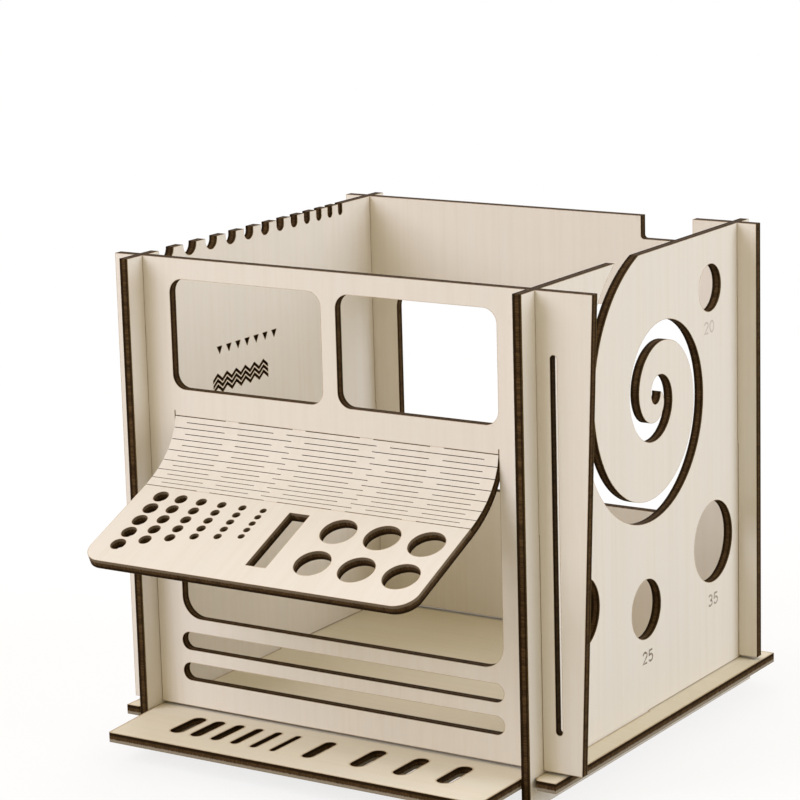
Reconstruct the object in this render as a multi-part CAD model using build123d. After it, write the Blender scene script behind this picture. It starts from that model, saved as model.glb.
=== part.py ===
from build123d import *
import math
import os

os.makedirs("parts", exist_ok=True)

# All sizes in mm. Box frame while building: X to the right, Y to the back, Z up,
# X = 0 at the left wall's inner face, Y = 0 at the front panel's face, Z = 0 on the base plate's top.

# sheet and box
SHEET = 4.0
INNER_W = 180.0
DEPTH = 172.0
HEIGHT = 190.0
FIN = 10.0
REAR_FIN = 7.0
WING = 10.0
BACK_WING = 8.8
FOOT = 12.5
LAP_GAP = 0.18
PANEL_LIFT = 1.2

# base plate and tool tray
LIP_FRONT = 8.6
LIP_BACK = 9.0
LIP_LEFT = 8.0
LIP_RIGHT = 10.5
LIP_MOUTH = 2.0
TRAY_OUT = 41.2
TRAY_TAPER = 3.4
TRAY_SLOT_X = (27.1, 37.0, 46.9, 56.5, 65.9, 75.4)
TRAY_SLOT_Y = (-28.6, -8.3)
TRAY_HOOK_SHIFT = 0.7
TRAY_WIDE_Y = (-28.2, -7.5)
TRAY_WIDE_W = 6.5
TRAY_TOOL_W = 5.0

# front panel
WING_TOP = 24.5
WING_LOW = 17.3
WING_SLOT_X = 191.5
WING_SLOT_W = 3.0
WING_SLOT_Z = (16.4, 165.8)
WINDOW_W = 73.5
WINDOW_Z = (136.0, 181.5)
WINDOW_R = 6.0
BRIDGE_BETWEEN = 7.0
OPEN_X = (13.0, 167.0)
OPEN_LOW = 39.3
OPEN_R = 9.0
LONG_SLOT_H = 7.6
LONG_SLOT_Z = (29.3, 16.1)

# bending strip and shelf
HINGE_Z = 124.8
LATH = 4.8
LATHS = 7
KERF = 0.3
FIRST_BEND = 13.2
BEND_STEP = 1.4
SHELF_END = 82.5
SIDE_KERF_UP = 2.2
LONG_DASH = 42.9
DASH_GAP = 6.3
NEEDLE_COLS = ((25.0, 6.5), (35.0, 5.3), (45.0, 4.5), (55.0, 3.8), (65.0, 3.3), (75.0, 2.8))
NEEDLE_GAP = 1.35
NEEDLE_ROWS = 5
NEEDLE_BACK = 6.3
TOOL_SLOT_X = (87.0, 96.4)
TOOL_SLOT_V = (5.2, 38.7)
HOOK_X = (114.0, 134.0, 154.0)
HOOK_V = (12.2, 32.1)
HOOK_D = 15.0

# side walls
LAP_MID_Y = DEPTH / 2
LAP_MID_Z = HEIGHT / 2
SLIDE_PLAY = 0.3
YARN_HOLES = ((20, 142.9, 166.6), (25, 85.0, 43.5), (30, 31.3, 55.4), (35, 144.8, 57.6))
COMB_START = 11.0
COMB_COUNT = 12
COMB_DEEP = 5.0
COMB_WIDE = 10.0
COMB_SHRINK = 0.905
TOOTH_WIDE = 6.6
TOOTH_SHRINK = 0.965

# yarn slot: a spiral about SLOT_C, r = a - b * t + c * t * t with t in radians from SLOT_FROM degrees,
# and a width that shrinks from its mouth
SLOT_C = (96.3, 129.4)
SLOT_FROM = 120.0
SLOT_R = (69.6, 8.36, 0.277)
SLOT_WIDE = (9.45, 0.18)
SLOT_END = ((91.2, 134.4), (91.4, 129.2))

# back panel
BACK_WINDOW_Z = (60.0, 150.0)
BACK_NOTCH_X = (138.3, 163.1)
BACK_NOTCH_DEEP = 10.0

LEFT_X = -SHEET
RIGHT_X = INNER_W
OUT_X = INNER_W + SHEET
BACK_Y = DEPTH - SHEET
MID_X = INNER_W / 2


def rect(x0, y0, x1, y1):
    return Pos((x0 + x1) / 2, (y0 + y1) / 2) * Rectangle(x1 - x0, y1 - y0)


def round_rect(x0, y0, x1, y1, r):
    return Pos((x0 + x1) / 2, (y0 + y1) / 2) * RectangleRounded(x1 - x0, y1 - y0, r)


def slot_h(x0, x1, yc, w):
    return Pos((x0 + x1) / 2, yc) * SlotOverall(x1 - x0, w)


def slot_v(xc, y0, y1, w):
    return Pos(xc, (y0 + y1) / 2) * Rot(0, 0, 90) * SlotOverall(y1 - y0, w)


def stand_xz(sketch, y0):
    return extrude(Plane.XZ.offset(-y0) * sketch, amount=-SHEET)


def stand_yz(sketch, x0):
    return extrude(Plane.YZ.offset(x0) * sketch, amount=SHEET)


# base plate with the tool tray in front; slots open to the front take the two side walls
plate = rect(LEFT_X - LIP_LEFT, -LIP_FRONT, OUT_X + LIP_RIGHT, DEPTH + LIP_BACK)
plate = plate + make_face(
    Polyline((0, 0), (TRAY_TAPER, -TRAY_OUT), (INNER_W, -TRAY_OUT), (INNER_W, 0), close=True)
)
for x in (LEFT_X, RIGHT_X):
    plate = plate - rect(x - LAP_GAP, -TRAY_OUT - 1, x + SHEET + LAP_GAP, LAP_MID_Y)
plate = fillet(plate.vertices().sort_by(Axis.Y)[:2], 1.2)
for x, tip in ((LEFT_X, LEFT_X - LIP_MOUTH), (OUT_X, OUT_X + LIP_MOUTH)):
    plate = plate - make_face(
        Polyline((x, 3 - LIP_FRONT), (tip, -LIP_FRONT), (tip, -LIP_FRONT - 1), (x, -LIP_FRONT - 1), close=True)
    )
for x, (shelf_x, d) in zip(TRAY_SLOT_X, NEEDLE_COLS):
    plate = plate - slot_v(x, TRAY_SLOT_Y[0], TRAY_SLOT_Y[1], d - 0.3)
plate = plate - slot_v(sum(TOOL_SLOT_X) / 2, TRAY_SLOT_Y[0], TRAY_SLOT_Y[1], TRAY_TOOL_W)
for x in HOOK_X:
    plate = plate - slot_v(x + TRAY_HOOK_SHIFT, TRAY_WIDE_Y[0], TRAY_WIDE_Y[1], TRAY_WIDE_W)
base_plate = Pos(0, 0, -SHEET) * extrude(plate, amount=SHEET)

# front panel with wings, two windows, the shelf opening and two long slots
front = make_face(
    Polyline(
        (LEFT_X - WING, PANEL_LIFT),
        (OUT_X + WING_LOW, PANEL_LIFT),
        (OUT_X + WING_TOP, HEIGHT),
        (LEFT_X - WING, HEIGHT),
        close=True,
    )
)
for x0 in (MID_X - BRIDGE_BETWEEN / 2 - WINDOW_W, MID_X + BRIDGE_BETWEEN / 2):
    front = front - round_rect(x0, WINDOW_Z[0], x0 + WINDOW_W, WINDOW_Z[1], WINDOW_R)
opening = rect(OPEN_X[0], OPEN_LOW, OPEN_X[1], HINGE_Z + KERF / 2)
opening = fillet(opening.vertices().sort_by(Axis.Y)[:2], OPEN_R)
front = front - opening
for x in (OPEN_X[0], OPEN_X[1] - KERF):
    front = front - rect(x, HINGE_Z, x + KERF, HINGE_Z + SIDE_KERF_UP)
for z in LONG_SLOT_Z:
    front = front - slot_h(OPEN_X[0] - 1, OPEN_X[1], z, LONG_SLOT_H)
front = front - slot_v(WING_SLOT_X, WING_SLOT_Z[0], WING_SLOT_Z[1], WING_SLOT_W)
for x in (LEFT_X, RIGHT_X):
    front = front - rect(x - LAP_GAP, 0, x + SHEET + LAP_GAP, LAP_MID_Z)
front_panel = stand_xz(front, 0)

# back panel with wings, a large window and a notch in the top edge
back = rect(LEFT_X - BACK_WING, PANEL_LIFT, OUT_X + BACK_WING, HEIGHT)
back = back - round_rect(OPEN_X[0], BACK_WINDOW_Z[0], OPEN_X[1], BACK_WINDOW_Z[1], 10.0)
notch = rect(BACK_NOTCH_X[0], HEIGHT - BACK_NOTCH_DEEP, BACK_NOTCH_X[1], HEIGHT + 1)
notch = fillet(notch.vertices().sort_by(Axis.Y)[:2], 1.5)
back = back - notch
for x in (LEFT_X, RIGHT_X):
    back = back - rect(x - LAP_GAP, 0, x + SHEET + LAP_GAP, LAP_MID_Z)
back_panel = stand_xz(back, BACK_Y)


# a side wall reaches below the base plate as a foot; it straddles the plate in its rear half
def wall_outline():
    w = rect(-FIN, -FOOT, DEPTH + REAR_FIN, HEIGHT)
    for y in (0, BACK_Y):
        w = w - rect(y - LAP_GAP, LAP_MID_Z, y + SHEET + LAP_GAP, HEIGHT + 1)
    return w - rect(LAP_MID_Y, -SHEET, DEPTH + REAR_FIN + 1, SLIDE_PLAY)


# left wall: needle notches along the top edge, a row of small triangles and three zigzag slits
wall = wall_outline()
edge = COMB_START
for i in range(COMB_COUNT):
    w = COMB_WIDE * COMB_SHRINK**i
    wall = wall - rect(edge, HEIGHT - COMB_DEEP + w / 2, edge + w, HEIGHT + 1)
    wall = wall - Pos(edge + w / 2, HEIGHT - COMB_DEEP + w / 2) * Circle(w / 2)
    edge = edge + w + TOOTH_WIDE * TOOTH_SHRINK**i
for i in range(7):
    y = 50.0 + 6.65 * i
    wall = wall - make_face(Polyline((y - 1.9, 143.0), (y + 1.9, 143.0), (y, 139.6), close=True))
for row in range(3):
    top = []
    low = []
    for i in range(13):
        y = 44.6 + 3.33 * i
        z = 123.0 + 2.3 * row + (2.5 if i % 2 else 0.0)
        low.append((y, z))
        top.append((y, z + 1.5))
    wall = wall - make_face(Polyline(*(low + top[::-1]), close=True))
left_wall = stand_yz(wall, LEFT_X)


# right wall: yarn slot curling in from the top edge, and four round holes
def spiral_point(deg, width_share):
    t = math.radians(deg)
    wide = SLOT_WIDE[0] - SLOT_WIDE[1] * t
    r = SLOT_R[0] - SLOT_R[1] * t + SLOT_R[2] * t * t - wide * width_share
    a = t + math.radians(SLOT_FROM)
    return SLOT_C[0] + r * math.cos(a), SLOT_C[1] + r * math.sin(a)


outer_edge = [spiral_point(deg, 0.0) for deg in range(-40, 681, 20)]
inner_edge = [spiral_point(deg, 1.0) for deg in range(640, -41, -20)]
slot_lines = []
for edge in (outer_edge, inner_edge):
    for i in range(0, len(edge) - 2, 2):
        slot_lines.append(ThreePointArc(edge[i], edge[i + 1], edge[i + 2]))
slot_end = ThreePointArc(outer_edge[-1], *SLOT_END)
slot_lines.append(slot_end)
slot_lines.append(TangentArc(SLOT_END[1], inner_edge[0], tangent=slot_end % 1))
slot_lines.append(Line(inner_edge[-1], outer_edge[0]))
slot_outline = Wire(slot_lines)

wall = wall_outline() - make_face(slot_outline)
for d, yc, zc in YARN_HOLES:
    wall = wall - Pos(yc, zc) * Circle(d / 2)
right_wall = stand_yz(wall, RIGHT_X)


# bending strip and shelf, drawn flat in the opening and then bent out to rest
def bend(k):
    return FIRST_BEND - BEND_STEP * k


def chain(k):
    py = 0.0
    pz = HINGE_Z
    turn = 0.0
    for i in range(k):
        turn = turn + bend(i)
        py = py - LATH * math.sin(math.radians(turn))
        pz = pz - LATH * math.cos(math.radians(turn))
    return py, pz, turn + bend(k)


def bent(solid, k):
    py, pz, turn = chain(k)
    return Pos(0, py, pz) * Rot(-turn, 0, 0) * Pos(0, 0, LATH * k - HINGE_Z) * solid


flap_x0 = OPEN_X[0] + KERF
flap_x1 = OPEN_X[1] - KERF
laths = []
for k in range(LATHS):
    z1 = HINGE_Z - LATH * k - KERF / 2
    z0 = HINGE_Z - LATH * (k + 1) + KERF / 2
    lath = rect(flap_x0, z0, flap_x1, z1)
    zc = (z0 + z1) / 2
    for j in (-1, 0, 1):
        xc = MID_X + j * (LONG_DASH + DASH_GAP)
        lath = lath - rect(xc - LONG_DASH / 2, zc - KERF / 2, xc + LONG_DASH / 2, zc + KERF / 2)
    laths.append(bent(stand_xz(lath, 0), k))

shelf_top = HINGE_Z - LATH * LATHS
shelf_sk = rect(flap_x0, HINGE_Z - SHELF_END, flap_x1, shelf_top - KERF / 2)
shelf_sk = fillet(shelf_sk.vertices().sort_by(Axis.Y)[:2], OPEN_R - KERF)
for x, d in NEEDLE_COLS:
    for i in range(NEEDLE_ROWS):
        v = NEEDLE_BACK + (d + NEEDLE_GAP) * i
        shelf_sk = shelf_sk - Pos(x, shelf_top - v) * Circle(d / 2)
tool = rect(TOOL_SLOT_X[0], -TOOL_SLOT_V[1], TOOL_SLOT_X[1], -TOOL_SLOT_V[0])
shelf_sk = shelf_sk - Pos(0, shelf_top) * tool
for x in HOOK_X:
    for v in HOOK_V:
        shelf_sk = shelf_sk - Pos(x, shelf_top - v) * Circle(HOOK_D / 2)
shelf = bent(stand_xz(shelf_sk, 0), LATHS)

nodes = {
    "base_plate": base_plate,
    "front_panel": front_panel,
    "back_panel": back_panel,
    "left_wall": left_wall,
    "right_wall": right_wall,
    "shelf": shelf,
}
for k, lath in enumerate(laths):
    nodes["lath_%d" % (k + 1)] = lath

# origin at the centre of the underside of the whole part's bounding box
low = [1e9, 1e9, 1e9]
high = [-1e9, -1e9, -1e9]
for solid in nodes.values():
    bb = solid.bounding_box()
    for i, (a, b) in enumerate(zip(tuple(bb.min), tuple(bb.max))):
        low[i] = min(low[i], a)
        high[i] = max(high[i], b)
move = Pos(-(low[0] + high[0]) / 2, -(low[1] + high[1]) / 2, -low[2])
for name, solid in nodes.items():
    export_step(move * solid, "parts/" + name + ".step")
print("shift", [round(v, 4) for v in tuple(move.position)])
for k in range(LATHS + 1):
    py, pz, turn = chain(k)
    print("bend", k + 1, round(py + move.position.Y, 4), round(pz + move.position.Z, 4), round(turn, 3))
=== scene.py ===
import math

import bmesh
import bpy
from mathutils import Euler, Matrix, Vector


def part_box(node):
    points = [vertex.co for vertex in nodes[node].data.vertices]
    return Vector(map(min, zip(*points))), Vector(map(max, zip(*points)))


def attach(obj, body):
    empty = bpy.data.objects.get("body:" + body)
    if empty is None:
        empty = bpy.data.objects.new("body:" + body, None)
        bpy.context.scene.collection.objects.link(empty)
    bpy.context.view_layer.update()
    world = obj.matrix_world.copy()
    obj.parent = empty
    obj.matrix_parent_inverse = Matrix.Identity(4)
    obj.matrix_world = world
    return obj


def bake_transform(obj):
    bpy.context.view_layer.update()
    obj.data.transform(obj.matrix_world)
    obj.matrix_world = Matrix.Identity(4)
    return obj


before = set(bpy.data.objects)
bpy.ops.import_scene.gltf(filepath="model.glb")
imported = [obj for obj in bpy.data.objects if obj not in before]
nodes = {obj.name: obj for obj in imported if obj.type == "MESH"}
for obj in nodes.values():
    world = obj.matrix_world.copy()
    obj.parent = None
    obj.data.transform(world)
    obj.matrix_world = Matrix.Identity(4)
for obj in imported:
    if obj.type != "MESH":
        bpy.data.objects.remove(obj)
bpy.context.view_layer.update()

# Sizes in mm in the box's own frame: X = 0 at the left wall's inner face, Y = 0 at the front
# panel's face, Z = 0 on top of the base plate. BOX_TO_PART turns them into the part's frame.
MM = 0.001
SHEET = 4.0
HALF_SHEET = SHEET / 2
INNER_WIDE = 180.0
DEPTH = 172.0
WALL_FACE_X = INNER_WIDE + SHEET
BOX_TO_PART = Vector(
    (
        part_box("right_wall")[1].x / MM - WALL_FACE_X,
        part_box("front_panel")[0].y / MM,
        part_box("base_plate")[1].z / MM,
    )
)
RIGHT, BACK, UP = (1, 0, 0), (0, 1, 0), (0, 0, 1)

# bending strip: seven laths and the shelf, each turned further out than the one above
HINGE_Z = 124.8
LATH = 4.8
LATHS = 7
FIRST_BEND = 13.2
BEND_STEP = 1.4
KERF = 0.3
BRIDGE_X = (41.7, 74.4, 106.5, 139.0)
BRIDGE_WIDE = 6.3
LONG_SLIT = 42.9
LONG_SLIT_STEP = 49.2

# what fills the slits, from and to how deep below the strip's front: bridges of wood, between them a
# dark sheet of painted shade where the real slits are open, and a plug of the same painted shade at each
# side of the strip
SLIT_REACH = KERF / 2 + 0.005
BRIDGE_DEEP = (0.01, SHEET - 0.01)
SHADE_SHEET_DEEP = (1.7, 2.3)
PLUG_DEEP = (0.3, SHEET - 0.05)
PLUG_WIDE = 0.8
SIDE_GAP = 0.02

# engraved sizes on the right wall's outer face: text, Y and Z of its centre, how dark the burn is
SIZES = (
    ("20", 141.9, 150.1, 0.40),
    ("25", 85.8, 23.2, 1.0),
    ("30", 31.3, 33.6, 0.75),
    ("35", 144.2, 32.4, 0.75),
)
FIGURE_HIGH = 4.6
FIGURE_WIDE = 3.4
FIGURE_GAP = 1.5
STROKE = 0.85
STROKE_PROUD = 0.02
SHARPEST_CORNER = 0.625

# colours of the wood and of its burns
VENEER = (0.785, 0.738, 0.662)
VENEER_DARK = (0.735, 0.672, 0.578)
VENEER_GREY = (0.755, 0.728, 0.665)
FIBRE = (0.690, 0.610, 0.500)
FLECK = (0.560, 0.460, 0.350)
TOASTED = (0.42, 0.29, 0.155)
CHAR = (0.0190, 0.0095, 0.0030)
CHAR_BROWN = (0.105, 0.060, 0.024)
OLIVE_BROWN = (0.098, 0.066, 0.023)
GREY_BROWN = (0.20, 0.155, 0.105)
ASH = (0.34, 0.29, 0.215)
ENGRAVED = (0.10, 0.060, 0.018)
WHITE = (1.0, 1.0, 1.0)
# multiplies the base plate's face colour, so the base comes out yellower than the other sheets
BASE_TINT = (0.975, 0.955, 0.86)

# the lighter band where the laser came out: on which side of the sheet, from how many mm off its
# middle, and its colour
USUAL_EXIT = (1.0, 1.35, OLIVE_BROWN)
BASE_EXIT = (-1.0, 0.55, ASH)
SHELF_EXIT = (1.0, 0.5, GREY_BROWN)

# the burnt edge in mm off the sheet's middle: the browner core with its soft border, and the rim
CORE_HALF = 0.75
CORE_SOFT = 0.25
RIM_FROM, RIM_TO = 1.80, 1.97

# in metres: how far the toasted line beside a cut reaches, and how high the grain stands
STAIN = 0.0004
BASE_STAIN = 0.0015
GRAIN_HIGH = 0.00008
GRAIN_STRENGTH = 0.25

# specks per metre in the painted shade of the slits and in the engraved figures
SHADE_SHEET_SPECKS = 1500.0
BURN_SPECKS = 900.0

BARE_WOOD_SHINE = 0.05
TO_MM = (1000, 1000, 1000)

# the strip and the shelf are cut from the front panel, so the three share one seed of grain
FRONT_SEED = 7.0

# camera: place in mm in the box's own frame, then degrees
CAMERA_AT = Vector((754.10, -970.3975, 400.5))
CAMERA_DOWN = 12.2
CAMERA_TURN = 32.7
CAMERA_ROLL = -1.5

camera_data = bpy.data.cameras.new("camera")
camera_data.lens = 137.77
camera_data.sensor_width = 36.0
camera_data.shift_x = -0.0224
camera_data.shift_y = -0.0267
camera_data.clip_start = 0.01
camera = bpy.data.objects.new("camera", camera_data)
camera.matrix_world = (
    Matrix.Translation((CAMERA_AT + BOX_TO_PART) * MM)
    @ Euler((math.radians(90 - CAMERA_DOWN), 0, math.radians(CAMERA_TURN))).to_matrix().to_4x4()
    @ Matrix.Rotation(math.radians(CAMERA_ROLL), 4, "Z")
)
bpy.context.scene.collection.objects.link(camera)
bpy.context.scene.camera = camera
bpy.context.scene.view_settings.view_transform = "Standard"


class Nodes:
    """Short ways to add nodes to one tree. Each input is a plain value or another node's output."""

    def __init__(self, tree):
        self.tree = tree

    def put(self, socket, value):
        if isinstance(value, bpy.types.NodeSocket):
            self.tree.links.new(value, socket)
        elif socket.type == "RGBA" and len(value) == 3:
            socket.default_value = (*value, 1.0)
        else:
            socket.default_value = value

    def add(self, kind, inputs=(), **settings):
        node = self.tree.nodes.new(kind)
        for name, value in settings.items():
            setattr(node, name, value)
        for name, value in dict(inputs).items():
            self.put(node.inputs[name], value)
        return node

    def group(self, tree, inputs):
        return self.add("ShaderNodeGroup", inputs, node_tree=tree).outputs

    def math(self, operation, a, b=0.0, c=0.0):
        return self.add("ShaderNodeMath", {0: a, 1: b, 2: c}, operation=operation).outputs[0]

    def vector(self, operation, a, b=(0, 0, 0)):
        node = self.add("ShaderNodeVectorMath", {0: a, 1: b}, operation=operation)
        return node.outputs["Value" if operation in ("DOT_PRODUCT", "LENGTH") else "Vector"]

    def point(self, x, y, z):
        return self.add("ShaderNodeCombineXYZ", {"X": x, "Y": y, "Z": z}).outputs[0]

    def ramp(self, value, low, high, out_low=0.0, out_high=1.0):
        node = self.add(
            "ShaderNodeMapRange",
            {"Value": value, "From Min": low, "From Max": high, "To Min": out_low, "To Max": out_high},
            interpolation_type="SMOOTHSTEP",
        )
        return node.outputs["Result"]

    def mix(self, share, a, b, blend="MIX"):
        node = self.add("ShaderNodeMix", {0: share, 6: a, 7: b}, data_type="RGBA", blend_type=blend)
        return node.outputs[2]

    def noise(self, place, scale, detail, rough):
        inputs = {"Vector": place, "Scale": scale, "Detail": detail, "Roughness": rough}
        return self.add("ShaderNodeTexNoise", inputs).outputs["Fac"]

    def shader_mix(self, share, a, b):
        return self.add("ShaderNodeMixShader", {0: share, 1: a, 2: b}).outputs[0]


def new_group(name, inputs, outputs):
    tree = bpy.data.node_groups.new(name, "ShaderNodeTree")
    for label, kind in inputs.items():
        tree.interface.new_socket(label, in_out="INPUT", socket_type="NodeSocket" + kind)
    for label, kind in outputs.items():
        tree.interface.new_socket(label, in_out="OUTPUT", socket_type="NodeSocket" + kind)
    n = Nodes(tree)
    return n, n.add("NodeGroupInput").outputs, n.add("NodeGroupOutput").inputs


def sheet_place_group():
    """Where a point lies on its sheet: mm along and across the grain, mm from the sheet's middle,
    and whether it is on a face or on a cut edge."""
    n, take, give = new_group(
        "sheet_place",
        {"Sheet Normal": "Vector", "Mid Plane": "Float", "Grain": "Vector"},
        {"Along": "Float", "Across": "Float", "Depth": "Float", "Face": "Float"},
    )
    spot = n.add("ShaderNodeTexCoord").outputs
    place = n.vector("MULTIPLY", spot["Object"], TO_MM)
    side = n.vector("CROSS_PRODUCT", take["Sheet Normal"], take["Grain"])
    deep = n.vector("DOT_PRODUCT", place, take["Sheet Normal"])
    facing = n.math("ABSOLUTE", n.vector("DOT_PRODUCT", spot["Normal"], take["Sheet Normal"]))
    n.put(give["Along"], n.vector("DOT_PRODUCT", place, take["Grain"]))
    n.put(give["Across"], n.vector("DOT_PRODUCT", place, side))
    n.put(give["Depth"], n.math("SUBTRACT", deep, take["Mid Plane"]))
    n.put(give["Face"], n.ramp(facing, 0.55, 0.85))
    return n.tree


def pale_veneer_group():
    """Pale rotary-cut veneer: faint growth figure, fine fibres and a little cloudiness."""
    n, take, give = new_group(
        "pale_veneer",
        {"Along": "Float", "Across": "Float", "Seed": "Float"},
        {"Color": "Color", "Height": "Float", "Roughness": "Float"},
    )

    def grain(along, across, detail, rough):
        along = n.math("MULTIPLY", take["Along"], along)
        across = n.math("MULTIPLY", take["Across"], across)
        return n.noise(n.point(along, across, take["Seed"]), 1.0, detail, rough)

    cloud = grain(0.012, 0.05, 3.0, 0.6)
    figure = grain(0.006, 0.28, 4.0, 0.65)
    fibre = grain(0.05, 3.2, 3.0, 0.7)
    fleck = grain(0.22, 2.2, 2.0, 0.5)
    tone = VENEER
    for pattern, low, high, share, color in (
        (figure, 0.38, 0.72, 0.50, VENEER_DARK),
        (cloud, 0.35, 0.70, 0.45, VENEER_GREY),
        (fibre, 0.50, 0.80, 0.28, FIBRE),
        (fleck, 0.70, 0.80, 0.22, FLECK),
    ):
        tone = n.mix(n.ramp(pattern, low, high, 0.0, share), tone, color)
    n.put(give["Color"], tone)
    n.put(give["Height"], n.math("MULTIPLY_ADD", fibre, 0.7, n.math("MULTIPLY", fleck, 0.3)))
    n.put(give["Roughness"], n.ramp(fibre, 0.3, 0.8, 0.58, 0.72))
    return n.tree


def burnt_edge_group():
    """The laser's burnt edge: near black, a little browner in the core, with soot streaks across
    the sheet, lighter where the beam came out, and olive along both rims."""
    n, take, give = new_group(
        "burnt_edge",
        {
            "Along": "Float", "Across": "Float", "Depth": "Float", "Seed": "Float",
            "Exit Side": "Float", "Exit From": "Float", "Exit Color": "Color",
        },
        {"Color": "Color", "Height": "Float", "Roughness": "Float"},
    )
    from_middle = n.math("ABSOLUTE", take["Depth"])
    streak_place = n.point(
        n.math("ADD", n.math("MULTIPLY", take["Along"], 2.1), take["Seed"]),
        n.math("MULTIPLY", take["Across"], 2.1),
        n.math("MULTIPLY", take["Depth"], 0.35),
    )
    streak = n.noise(streak_place, 1.0, 3.0, 0.6)
    soot = n.noise(streak_place, 0.16, 2.0, 0.5)

    waver = n.math("MULTIPLY_ADD", soot, 0.6, n.math("SUBTRACT", from_middle, 0.3))
    core = n.ramp(waver, CORE_HALF - CORE_SOFT, CORE_HALF + CORE_SOFT, 1.0, 0.0)
    glow = n.math("MULTIPLY", core, n.ramp(streak, 0.32, 0.72, 0.25, 1.0))
    burn = n.mix(glow, CHAR, CHAR_BROWN)
    burn = n.mix(n.ramp(soot, 0.45, 0.75, 0.0, 0.5), burn, CHAR)

    beyond = n.math("SUBTRACT", n.math("MULTIPLY", take["Depth"], take["Exit Side"]), take["Exit From"])
    beyond = n.math("MULTIPLY_ADD", n.math("SUBTRACT", streak, 0.5), 0.9, beyond)
    burn = n.mix(n.ramp(beyond, -0.1, 0.45, 0.0, 0.85), burn, take["Exit Color"])
    burn = n.mix(n.ramp(from_middle, RIM_FROM, RIM_TO, 0.0, 0.75), burn, OLIVE_BROWN)
    n.put(give["Color"], burn)
    n.put(give["Height"], n.math("MULTIPLY_ADD", core, 0.5, streak))
    n.put(give["Roughness"], n.ramp(streak, 0.3, 0.8, 0.80, 0.95))
    return n.tree


def laser_cut_ply_group(sheet_place, pale_veneer, burnt_edge):
    """The whole sheet: veneer on the faces, toasted beside each cut, and burnt edges. Open Inside
    falls below 1 near a cut, and All Face makes the cut edges veneer too."""
    n, take, give = new_group(
        "laser_cut_ply",
        {
            "Sheet Normal": "Vector", "Mid Plane": "Float", "Grain": "Vector", "Seed": "Float",
            "Open Inside": "Float", "Exit Side": "Float", "Exit From": "Float", "Exit Color": "Color",
            "Tint": "Color", "All Face": "Float",
        },
        {"Color": "Color", "Roughness": "Float", "Height": "Float"},
    )
    where = n.group(sheet_place, {label: take[label] for label in ("Sheet Normal", "Mid Plane", "Grain")})
    on_sheet = {"Along": where["Along"], "Across": where["Across"], "Seed": take["Seed"]}
    face = n.group(pale_veneer, on_sheet)
    exit_band = {label: take[label] for label in ("Exit Side", "Exit From", "Exit Color")}
    cut = n.group(burnt_edge, {**on_sheet, "Depth": where["Depth"], **exit_band})

    along = n.math("MULTIPLY", where["Along"], 0.35)
    across = n.math("MULTIPLY", where["Across"], 0.35)
    smoke = n.noise(n.point(along, across, take["Seed"]), 1.0, 3.0, 0.6)
    near_cut = n.math("MULTIPLY_ADD", n.math("SUBTRACT", smoke, 0.5), 0.25, take["Open Inside"])
    scorch = n.ramp(near_cut, 0.55, 0.95, 0.85, 0.0)
    toasted = n.mix(scorch, n.mix(1.0, face["Color"], take["Tint"], "MULTIPLY"), TOASTED)

    face_share = n.math("MAXIMUM", where["Face"], take["All Face"])
    n.put(give["Color"], n.mix(face_share, cut["Color"], toasted))
    for label in ("Roughness", "Height"):
        step = n.math("SUBTRACT", face[label], cut[label])
        n.put(give[label], n.math("MULTIPLY_ADD", step, face_share, cut[label]))
    return n.tree


laser_cut_ply = laser_cut_ply_group(sheet_place_group(), pale_veneer_group(), burnt_edge_group())


def new_material(name):
    material = bpy.data.materials.new(name)
    material.use_nodes = True
    material.node_tree.nodes.clear()
    return material, Nodes(material.node_tree)


def bare_surface(n, inputs):
    skin = n.add("ShaderNodeBsdfPrincipled", {**inputs, "Specular IOR Level": BARE_WOOD_SHINE})
    n.add("ShaderNodeOutputMaterial", {"Surface": skin.outputs[0]})


def ply_finish(
    name, normal, mid_plane, grain, seed, exit_band=USUAL_EXIT, stain=STAIN, tint=WHITE, all_face=0.0
):
    material, n = new_material("plywood_" + name)
    near_cut = 1.0
    if stain:
        looks = {"inside": True, "only_local": True, "samples": 8}
        near_cut = n.add("ShaderNodeAmbientOcclusion", {"Distance": stain}, **looks).outputs["AO"]
    exit_side, exit_from, exit_color = exit_band
    sheet = n.group(
        laser_cut_ply,
        {
            "Sheet Normal": normal,
            "Mid Plane": mid_plane,
            "Grain": grain,
            "Seed": seed,
            "Open Inside": near_cut,
            "Exit Side": exit_side,
            "Exit From": exit_from,
            "Exit Color": exit_color,
            "Tint": tint,
            "All Face": all_face,
        },
    )
    relief = {"Strength": GRAIN_STRENGTH, "Distance": GRAIN_HIGH, "Height": sheet["Height"]}
    bump = n.add("ShaderNodeBump", relief).outputs[0]
    bare_surface(n, {"Base Color": sheet["Color"], "Roughness": sheet["Roughness"], "Normal": bump})
    return material


# painted shade: a near-black finish with burn-brown specks for the dark sheets set in the open slits
def shade_sheet_finish():
    material, n = new_material("painted_slit_shade")
    spot = n.add("ShaderNodeTexCoord").outputs["Object"]
    soot = n.mix(n.ramp(n.noise(spot, SHADE_SHEET_SPECKS, 3.0, 0.6), 0.35, 0.7), CHAR, CHAR_BROWN)
    bare_surface(n, {"Base Color": soot, "Roughness": 0.9})
    return material


def engraving_finish(name, darkness):
    material, n = new_material(name)
    spot = n.add("ShaderNodeTexCoord").outputs["Object"]
    patchy = n.ramp(n.noise(spot, BURN_SPECKS, 3.0, 0.6), 0.3, 0.75, 0.55 * darkness, darkness)
    bare_surface(n, {"Base Color": n.mix(patchy, VENEER, ENGRAVED), "Roughness": 0.85})
    return material


def dress(piece, material):
    piece.data.materials.clear()
    piece.data.materials.append(material)


def new_piece(name, bm, *materials):
    """Object made from bm. A face's material_index counts through materials."""
    mesh = bpy.data.meshes.new(name)
    bm.to_mesh(mesh)
    bm.free()
    for material in materials:
        mesh.materials.append(material)
    piece = bpy.data.objects.new(name, mesh)
    bpy.context.scene.collection.objects.link(piece)
    return piece


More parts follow.
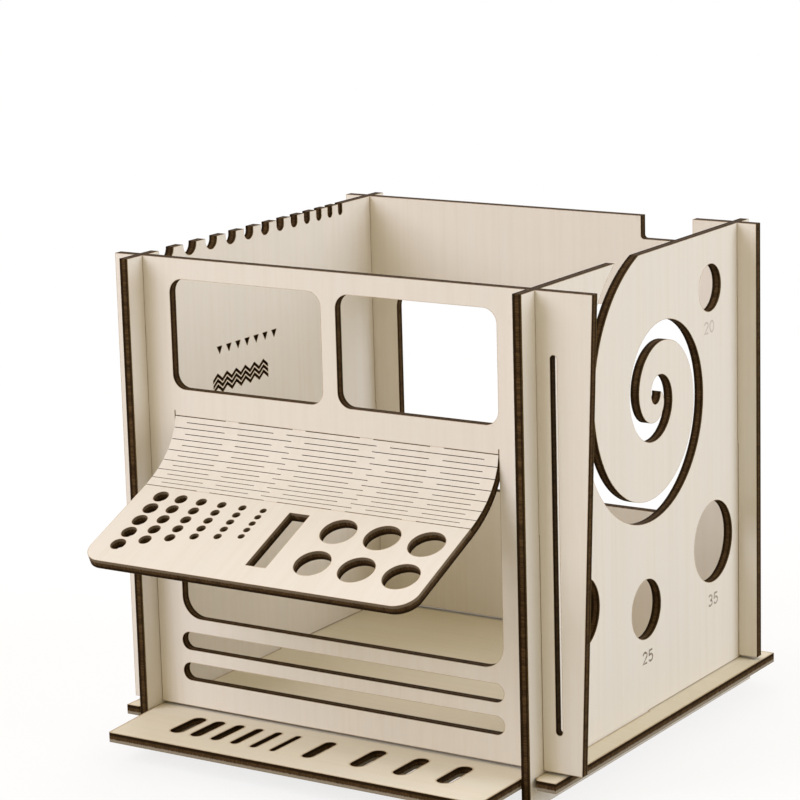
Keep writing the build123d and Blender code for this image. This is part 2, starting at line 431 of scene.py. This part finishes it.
# flat sheets: normal, middle plane in mm, grain, seed of the grain
flat_sheets = {
    "base_plate": (UP, BOX_TO_PART.z - HALF_SHEET, RIGHT, 1.0, BASE_EXIT, BASE_STAIN, BASE_TINT),
    "front_panel": (BACK, BOX_TO_PART.y + HALF_SHEET, UP, FRONT_SEED),
    "back_panel": (BACK, BOX_TO_PART.y + DEPTH - HALF_SHEET, UP, 13.0),
    "left_wall": (RIGHT, BOX_TO_PART.x - HALF_SHEET, UP, 19.0),
    "right_wall": (RIGHT, BOX_TO_PART.x + INNER_WIDE + HALF_SHEET, UP, 25.0),
}
for name, values in flat_sheets.items():
    dress(nodes[name], ply_finish(name, *values))

# laths and shelf; for each one its hinge line, the way its face looks and the way down along it
hinge_y, hinge_z, turn = 0.0, HINGE_Z, 0.0
hinges = []
for k in range(LATHS + 1):
    turn += math.radians(FIRST_BEND - BEND_STEP * k)
    out = Vector((0, -math.cos(turn), math.sin(turn)))
    down = Vector((0, -math.sin(turn), -math.cos(turn)))
    line = Vector((0, hinge_y, hinge_z)) + BOX_TO_PART
    name = "shelf" if k == LATHS else "lath_%d" % (k + 1)
    looks = (SHELF_EXIT,) if name == "shelf" else (USUAL_EXIT, 0.0)
    dress(nodes[name], ply_finish(name, out, out.dot(line) - HALF_SHEET, down, FRONT_SEED, *looks))
    hinges.append((name, line, out, down))
    hinge_y += down.y * LATH
    hinge_z += down.z * LATH

# material slots of the slit blocks: wood, and the painted shade of the dark slit sheets
WOOD, SHADE_SHEET = 0, 1


def fill_slit(bm, left, right, deep, finish, line, above, below):
    """Block across one slit, from the edge of the piece above to the edge of the piece below."""
    verts = []
    for x in (left, right):
        for (out, down), along in ((above, -SLIT_REACH), (below, SLIT_REACH)):
            for d in deep:
                verts.append(bm.verts.new((Vector((x, line.y, line.z)) + down * along - out * d) * MM))
    # the block's two end faces take the painted shade finish, and its other faces take the given finish
    for quad in ((0, 1, 3, 2), (4, 6, 7, 5)):
        bm.faces.new([verts[i] for i in quad]).material_index = SHADE_SHEET
    for quad in ((0, 2, 6, 4), (1, 5, 7, 3), (0, 4, 5, 1), (2, 3, 7, 6)):
        bm.faces.new([verts[i] for i in quad]).material_index = finish


# Wood left between the dashes of each hinge's slit, as thick as the sheet, with painted shade between:
# a dark sheet in the open slit. Each block reaches from the piece above to the piece below. The painted
# shade in a lath's own three slits is built into the same piece.
painted_slit_shade = shade_sheet_finish()
above = (Vector((0, -1, 0)), Vector((0, 0, -1)))
for k, (name, line, out, down) in enumerate(hinges):
    bm = bmesh.new()
    places = (line, above, (out, down))
    left_end = nodes[name].bound_box[0][0] / MM + SIDE_GAP
    right_end = nodes[name].bound_box[4][0] / MM - SIDE_GAP
    # plugs of painted shade at both open ends of the slit
    for start in (left_end, right_end - PLUG_WIDE):
        fill_slit(bm, start, start + PLUG_WIDE, PLUG_DEEP, SHADE_SHEET, *places)
    left = left_end + PLUG_WIDE
    for x in BRIDGE_X:
        x += BOX_TO_PART.x
        # a dark sheet of painted shade in the open slit between bridges
        fill_slit(bm, left, x - BRIDGE_WIDE / 2, SHADE_SHEET_DEEP, SHADE_SHEET, *places)
        left = x + BRIDGE_WIDE / 2
        fill_slit(bm, x - BRIDGE_WIDE / 2, left, BRIDGE_DEEP, WOOD, *places)
    fill_slit(bm, left, right_end - PLUG_WIDE, SHADE_SHEET_DEEP, SHADE_SHEET, *places)
    if name != "shelf":
        # dark sheets of painted shade in the lath's own three long slits
        places = (line + down * LATH / 2, (out, down), (out, down))
        for step in (-1, 0, 1):
            x = BOX_TO_PART.x + INNER_WIDE / 2 + step * LONG_SLIT_STEP
            fill_slit(bm, x - LONG_SLIT / 2, x + LONG_SLIT / 2, SHADE_SHEET_DEEP, SHADE_SHEET, *places)
    bmesh.ops.recalc_face_normals(bm, faces=bm.faces)
    label = "bridges_%d" % (k + 1)
    plane = out.dot(line) - HALF_SHEET
    wood = ply_finish(label, out, plane, down, FRONT_SEED, stain=0.0, all_face=1.0)
    bridges = new_piece(label, bm, wood, painted_slit_shade)
    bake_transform(bridges)
    above = (out, down)


def arc(cx, cy, rx, ry, start, end, steps=14):
    """Points along an oval from one angle to another, in degrees."""
    points = []
    for i in range(steps + 1):
        a = math.radians(start + (end - start) * i / steps)
        points.append((cx + rx * math.cos(a), cy + ry * math.sin(a)))
    return points


# single-line figures in a cell one unit wide and high, left foot at (0, 0)
FIGURES = {
    "0": [arc(0.5, 0.5, 0.5, 0.5, 90, 450, 24)],
    "2": [arc(0.5, 0.72, 0.48, 0.28, 170, -35) + [(0.02, 0.0), (1.0, 0.0)]],
    "3": [arc(0.48, 0.745, 0.44, 0.255, 150, -90), arc(0.48, 0.245, 0.50, 0.245, 90, -150)],
    "5": [[(0.92, 1.0), (0.16, 1.0), (0.08, 0.56)] + arc(0.47, 0.31, 0.50, 0.31, 130, -150)],
}


def ribbon(bm, points, width, x):
    """Flat stroke at one x, along points given as Y and Z. Corners are mitred, up to a limit."""
    closed = (Vector(points[0]) - Vector(points[-1])).length < 1e-6
    if closed:
        points = points[:-1]
    count = len(points)
    rails = ([], [])
    for i, point in enumerate(points):
        here = Vector(point)
        before = Vector(points[i - 1]) if closed or i else here
        after = Vector(points[(i + 1) % count]) if closed or i + 1 < count else here
        first = (here - before).normalized() if before != here else (after - here).normalized()
        second = (after - here).normalized() if after != here else first
        way = (first + second).normalized()
        spread = 1 / max(way.dot(first), SHARPEST_CORNER)
        across = Vector((-way.y, way.x)) * width / 2 * spread
        for rail, edge in zip(rails, (here + across, here - across)):
            rail.append(bm.verts.new((x, edge.x, edge.y)))
    for i in range(count if closed else count - 1):
        j = (i + 1) % count
        bm.faces.new((rails[1][i], rails[1][j], rails[0][j], rails[0][i]))


for text, y_middle, z_middle, darkness in SIZES:
    bm = bmesh.new()
    start = y_middle - (len(text) * FIGURE_WIDE + (len(text) - 1) * FIGURE_GAP) / 2
    for i, letter in enumerate(text):
        left = start + i * (FIGURE_WIDE + FIGURE_GAP)
        for stroke in FIGURES[letter]:
            points = [(left + u * FIGURE_WIDE, z_middle + (v - 0.5) * FIGURE_HIGH) for u, v in stroke]
            ribbon(bm, points, STROKE, WALL_FACE_X + STROKE_PROUD)
    label = "engraved_" + text
    mark = new_piece(label, bm, engraving_finish(label, darkness))
    mark.data.transform(Matrix.Scale(MM, 4) @ Matrix.Translation(BOX_TO_PART))
    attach(mark, "box")


# floor, world and lamps
FLOOR_HALF = 12.0
FLOOR_BOUNCE = (0.55, 0.54, 0.51)
FLOOR_SHADE = (0.20, 0.20, 0.20)
FLOOR_LIFT = 0.78
FLOOR_FADE = (0.25, 0.8)
SKY_COLOR = (1.0, 0.85, 0.51)
SKY_LEVEL = 0.60
LOOK_AT = Vector((0, 0, 0.1))
LAMP_AWAY = 2.5
LAMP_WIDE = 2.0


def seen_directly(n):
    """1 for camera, glossy and transmission rays, 0 for the light that falls on the part."""
    path = n.add("ShaderNodeLightPath").outputs
    mirrored = n.math("MAXIMUM", path["Is Glossy Ray"], path["Is Transmission Ray"])
    return n.math("MAXIMUM", path["Is Camera Ray"], mirrored)


def pale_floor():
    """White with a soft shadow near the part, fading to plain white; a real pale floor to the light."""
    material, n = new_material("floor")
    seen = seen_directly(n)
    away = n.vector("MULTIPLY", n.add("ShaderNodeTexCoord").outputs["Object"], (1, 1, 0))
    far = n.ramp(n.vector("LENGTH", away), *FLOOR_FADE)
    near = n.add("ShaderNodeAddShader")
    n.put(near.inputs[0], n.add("ShaderNodeBsdfDiffuse", {"Color": FLOOR_SHADE}).outputs[0])
    n.put(near.inputs[1], n.add("ShaderNodeEmission", {"Color": WHITE, "Strength": FLOOR_LIFT}).outputs[0])
    white = n.add("ShaderNodeEmission", {"Color": WHITE, "Strength": 1.0}).outputs[0]
    shown = n.shader_mix(far, near.outputs[0], white)
    real = n.add("ShaderNodeBsdfDiffuse", {"Color": FLOOR_BOUNCE}).outputs[0]
    n.add("ShaderNodeOutputMaterial", {"Surface": n.shader_mix(seen, real, shown)})
    return material


bm = bmesh.new()
bmesh.ops.create_grid(bm, x_segments=1, y_segments=1, size=FLOOR_HALF)
floor = new_piece("floor", bm, pale_floor())

world = bpy.data.worlds.new("studio")
bpy.context.scene.world = world
world.use_nodes = True
world.node_tree.nodes.clear()
n = Nodes(world.node_tree)
sky = n.add("ShaderNodeBackground", {"Color": SKY_COLOR, "Strength": SKY_LEVEL}).outputs[0]
white = n.add("ShaderNodeBackground", {"Color": WHITE, "Strength": 1.0}).outputs[0]
n.add("ShaderNodeOutputWorld", {"Surface": n.shader_mix(seen_directly(n), sky, white)})


def lamp(name, azimuth, elevation, level, color):
    """Round lamp; level is the share of a written colour that it gives a surface facing it."""
    data = bpy.data.lights.new(name, "AREA")
    data.shape = "DISK"
    data.size = LAMP_WIDE
    data.energy = level * math.pi**2 * LAMP_AWAY**2
    data.color = color
    thing = bpy.data.objects.new(name, data)
    a, e = math.radians(azimuth), math.radians(elevation)
    way = Vector((math.sin(a) * math.cos(e), -math.cos(a) * math.cos(e), math.sin(e)))
    thing.location = LOOK_AT + way * LAMP_AWAY
    thing.rotation_euler = way.to_track_quat("Z", "Y").to_euler()
    bpy.context.scene.collection.objects.link(thing)


lamp("key_lamp", -38, 33, 0.78, (0.80, 0.81, 1.0))
lamp("side_lamp", 110, 26, 0.64, (0.73, 0.80, 1.0))
lamp("back_lamp", 205, 32, 0.45, (0.80, 0.83, 1.0))
